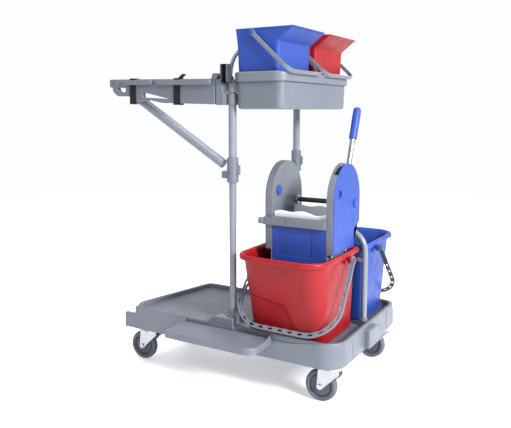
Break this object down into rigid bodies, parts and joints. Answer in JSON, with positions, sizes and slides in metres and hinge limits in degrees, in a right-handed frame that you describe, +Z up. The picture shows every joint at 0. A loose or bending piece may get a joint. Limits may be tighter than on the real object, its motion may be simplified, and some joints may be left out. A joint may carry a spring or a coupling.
{
  "type": "cleaning trolley with wringer",
  "caption": "Wheeled janitorial trolley: deck on swivel casters, two poles, upper tray with pails, folding bag holder, large buckets and a lever wringer.",
  "frame": {"origin": "on the floor, below the middle of the trolley's outline", "axes": "+X along the trolley from the bag holder towards the buckets, -Y towards the step plate and the person working, +Z up"},
  "size_m": [0.8985, 0.7014, 1.113],
  "materials": {
    "grey_plastic": "satin moulded, fine texture",
    "dark_plastic": "satin moulded",
    "hub_plastic": "satin moulded",
    "light_plastic": "satin moulded",
    "blue_plastic": "satin moulded",
    "red_plastic": "satin moulded",
    "pole_paint": "satin powder coat",
    "zinc_steel": "zinc plated",
    "dark_steel": "satin",
    "chrome": "polished",
    "tyre_rubber": "matt",
    "strap_rubber": "matt, ribbed"
  },
  "bodies": {
    "trolley": {"base_deck": "grey_plastic", "step_plate": "grey_plastic", "front_pole_lower": "pole_paint", "rear_pole_lower": "pole_paint", "front_pole_upper": "pole_paint", "rear_pole_upper": "pole_paint", "front_clip_collar": "grey_plastic", "rear_clip_collar": "grey_plastic", "pole_boots": "grey_plastic", "divider_hoop": "pole_paint", "hoop_feet": "grey_plastic", "hoop_clip": "grey_plastic", "upper_tray": "grey_plastic", "tray_brackets": "grey_plastic", "push_handle": "pole_paint", "mop_clip": "dark_plastic", "caster_plates": "zinc_steel", "caster_bolts": "zinc_steel", "bag_bracket": "grey_plastic"},
    "fl_caster": {"fl_fork": "zinc_steel"},
    "fl_wheel": {"fl_hub": "hub_plastic", "fl_tyre": "tyre_rubber"},
    "fl_brake_pedal": {"fl_brake": "dark_plastic"},
    "fr_caster": {"fr_fork": "zinc_steel"},
    "fr_wheel": {"fr_hub": "hub_plastic", "fr_tyre": "tyre_rubber"},
    "fr_brake_pedal": {"fr_brake": "dark_plastic"},
    "rl_caster": {"rl_fork": "zinc_steel"},
    "rl_wheel": {"rl_hub": "hub_plastic", "rl_tyre": "tyre_rubber"},
    "rr_caster": {"rr_fork": "zinc_steel"},
    "rr_wheel": {"rr_hub": "hub_plastic", "rr_tyre": "tyre_rubber"},
    "red_pail": {"red_bucket": "red_plastic"},
    "red_handle": {"red_bail": "grey_plastic"},
    "blue_pail": {"blue_bucket": "blue_plastic"},
    "blue_handle": {"blue_bail": "dark_plastic"},
    "small_blue_pail": {"small_blue_bucket": "blue_plastic"},
    "small_blue_handle": {"small_blue_bail": "grey_plastic"},
    "small_red_pail": {"small_red_bucket": "red_plastic"},
    "small_red_handle": {"small_red_bail": "grey_plastic"},
    "wringer": {"left_shell": "grey_plastic", "left_cover": "blue_plastic", "right_shell": "grey_plastic", "right_cover": "blue_plastic", "wringer_basket": "blue_plastic", "front_crossbar": "grey_plastic", "tie_rod": "dark_steel", "tie_rod_nuts": "zinc_steel", "shaft_caps": "blue_plastic"},
    "lever": {"lever_crank": "chrome", "lever_tube": "chrome", "lever_grip": "blue_plastic"},
    "front_press": {"front_press_plate": "light_plastic"},
    "rear_press": {"rear_press_plate": "light_plastic"},
    "bag_holder": {"bag_frame": "grey_plastic", "bag_clamp_bars": "grey_plastic", "inner_strap": "strap_rubber", "outer_strap": "strap_rubber"},
    "brace": {"bag_brace": "pole_paint"}
  },
  "joints": [
    {"name": "fl_swivel", "type": "hinge", "parent": "trolley", "child": "fl_caster", "pos_m": [-0.288, -0.17525, 0.11], "axis": [0, 0, 1], "continuous": true},
    {"name": "fl_wheel_spin", "type": "hinge", "parent": "fl_caster", "child": "fl_wheel", "pos_m": [-0.3279, -0.17804, 0.05], "axis": [0.0698, -0.9976, 0], "continuous": true},
    {"name": "fl_brake_press", "type": "hinge", "parent": "fl_caster", "child": "fl_brake_pedal", "pos_m": [-0.27503, -0.17434, 0.097], "axis": [-0.0698, 0.9976, 0], "range_deg": [0, 4]},
    {"name": "fr_swivel", "type": "hinge", "parent": "trolley", "child": "fr_caster", "pos_m": [0.39, -0.16525, 0.11], "axis": [0, 0, 1], "continuous": true},
    {"name": "fr_wheel_spin", "type": "hinge", "parent": "fr_caster", "child": "fr_wheel", "pos_m": [0.35005, -0.16734, 0.05], "axis": [0.0523, -0.9986, 0], "continuous": true},
    {"name": "fr_brake_press", "type": "hinge", "parent": "fr_caster", "child": "fr_brake_pedal", "pos_m": [0.40298, -0.16457, 0.097], "axis": [-0.0523, 0.9986, 0], "range_deg": [0, 4]},
    {"name": "rl_swivel", "type": "hinge", "parent": "trolley", "child": "rl_caster", "pos_m": [-0.231, 0.05475, 0.11], "axis": [0, 0, 1], "continuous": true},
    {"name": "rl_wheel_spin", "type": "hinge", "parent": "rl_caster", "child": "rl_wheel", "pos_m": [-0.2709, 0.05196, 0.05], "axis": [0.0698, -0.9976, 0], "continuous": true},
    {"name": "rr_swivel", "type": "hinge", "parent": "trolley", "child": "rr_caster", "pos_m": [0.4, 0.23775, 0.11], "axis": [0, 0, 1], "continuous": true},
    {"name": "rr_wheel_spin", "type": "hinge", "parent": "rr_caster", "child": "rr_wheel", "pos_m": [0.36, 0.23775, 0.05], "axis": [0, -1, 0], "continuous": true},
    {"name": "red_bucket_lift", "type": "slide", "parent": "trolley", "child": "red_pail", "axis": [0, 0, 1], "range_m": [0, 0.05]},
    {"name": "red_bail_swing", "type": "hinge", "parent": "red_pail", "child": "red_handle", "pos_m": [0.246, -0.07125, 0.42], "axis": [-1, 0, 0], "range_deg": [0, 100]},
    {"name": "blue_bucket_lift", "type": "slide", "parent": "trolley", "child": "blue_pail", "axis": [0, 0, 1], "range_m": [0, 0.15]},
    {"name": "blue_bail_swing", "type": "hinge", "parent": "blue_pail", "child": "blue_handle", "pos_m": [0.259, 0.14075, 0.42], "axis": [1, 0, 0], "range_deg": [0, 140]},
    {"name": "small_blue_bucket_lift", "type": "slide", "parent": "trolley", "child": "small_blue_pail", "axis": [0, 0, 1], "range_m": [0, 0.25]},
    {"name": "small_blue_bail_swing", "type": "hinge", "parent": "small_blue_pail", "child": "small_blue_handle", "pos_m": [0.136, -0.10225, 1.1], "axis": [0, -1, 0], "range_deg": [0, 130]},
    {"name": "small_red_bucket_lift", "type": "slide", "parent": "trolley", "child": "small_red_pail", "axis": [0, 0, 1], "range_m": [0, 0.25]},
    {"name": "small_red_bail_swing", "type": "hinge", "parent": "small_red_pail", "child": "small_red_handle", "pos_m": [0.136, 0.15575, 1.1], "axis": [0, -1, 0], "range_deg": [0, 130]},
    {"name": "wringer_lift", "type": "slide", "parent": "red_pail", "child": "wringer", "axis": [0, 0, 1], "range_m": [0, 0.09]},
    {"name": "lever_press", "type": "hinge", "parent": "wringer", "child": "lever", "pos_m": [0.265, -0.11725, 0.625], "axis": [1, 0, 0], "range_deg": [0, 75]},
    {"name": "front_press_tilt", "type": "hinge", "parent": "wringer", "child": "front_press", "pos_m": [0.265, -0.13725, 0.44], "axis": [1, 0, 0], "range_deg": [-9.5, 0.5]},
    {"name": "rear_press_tilt", "type": "hinge", "parent": "wringer", "child": "rear_press", "pos_m": [0.265, -0.02725, 0.44], "axis": [1, 0, 0], "range_deg": [-0.5, 23]},
    {"name": "bag_frame_fold", "type": "hinge", "parent": "trolley", "child": "bag_holder", "pos_m": [0.013, -0.22125, 0.976], "axis": [0, 1, 0], "range_deg": [0, 80]},
    {"name": "bag_brace_fold", "type": "hinge", "parent": "bag_holder", "child": "brace", "pos_m": [-0.31224, -0.19625, 0.90767], "axis": [0, 1, 0], "range_deg": [-32, 0]}
  ],
  "couplings": [
    {"joint": "front_press_tilt", "follows": "lever_press", "ratio": -0.12},
    {"joint": "rear_press_tilt", "follows": "lever_press", "ratio": 0.3},
    {"joint": "bag_brace_fold", "follows": "bag_frame_fold", "ratio": -0.39}
  ]
}
